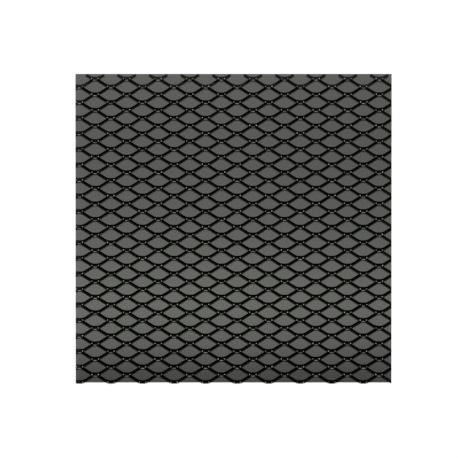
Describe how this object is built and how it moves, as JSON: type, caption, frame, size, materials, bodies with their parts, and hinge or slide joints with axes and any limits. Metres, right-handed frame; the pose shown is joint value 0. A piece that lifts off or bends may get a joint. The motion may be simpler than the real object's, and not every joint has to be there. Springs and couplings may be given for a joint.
{
  "type": "honeycomb light grid",
  "caption": "Flat square black honeycomb grid of bonded corrugated aluminium ribbons, open on both faces, that narrows the beam of a light panel.",
  "frame": {"origin": "centre of the back face, on the plane that the panel rests on", "axes": "+X along the ribbons, +Y from the last ribbon to the first (up in use), +Z out of the front face"},
  "size_m": [0.305, 0.2984, 0.0254],
  "materials": {
    "black_aluminium": "matte black anodised",
    "bond_adhesive": "satin, cured adhesive"
  },
  "bodies": {
    "root": {"ribbon_01": "black_aluminium", "ribbon_02": "black_aluminium", "ribbon_03": "black_aluminium", "ribbon_04": "black_aluminium", "ribbon_05": "black_aluminium", "ribbon_06": "black_aluminium", "ribbon_07": "black_aluminium", "ribbon_08": "black_aluminium", "ribbon_09": "black_aluminium", "ribbon_10": "black_aluminium", "ribbon_11": "black_aluminium", "ribbon_12": "black_aluminium", "ribbon_13": "black_aluminium", "ribbon_14": "black_aluminium", "ribbon_15": "black_aluminium", "ribbon_16": "black_aluminium", "ribbon_17": "black_aluminium", "ribbon_18": "black_aluminium", "ribbon_19": "black_aluminium", "ribbon_20": "black_aluminium", "ribbon_21": "black_aluminium", "ribbon_22": "black_aluminium", "ribbon_23": "black_aluminium", "ribbon_24": "black_aluminium", "ribbon_25": "black_aluminium", "ribbon_26": "black_aluminium", "ribbon_27": "black_aluminium", "ribbon_28": "black_aluminium", "ribbon_29": "black_aluminium", "ribbon_30": "black_aluminium", "ribbon_31": "black_aluminium", "ribbon_32": "black_aluminium", "ribbon_33": "black_aluminium", "ribbon_34": "black_aluminium", "ribbon_35": "black_aluminium", "ribbon_36": "black_aluminium", "ribbon_37": "black_aluminium", "ribbon_38": "black_aluminium", "ribbon_39": "black_aluminium", "top_remnant_01": "black_aluminium", "top_remnant_02": "black_aluminium", "top_remnant_03": "black_aluminium", "top_remnant_04": "black_aluminium", "top_remnant_05": "black_aluminium", "top_remnant_06": "black_aluminium", "top_remnant_07": "black_aluminium", "top_remnant_08": "black_aluminium", "top_remnant_09": "black_aluminium", "top_remnant_10": "black_aluminium"}
  },
  "joints": []
}
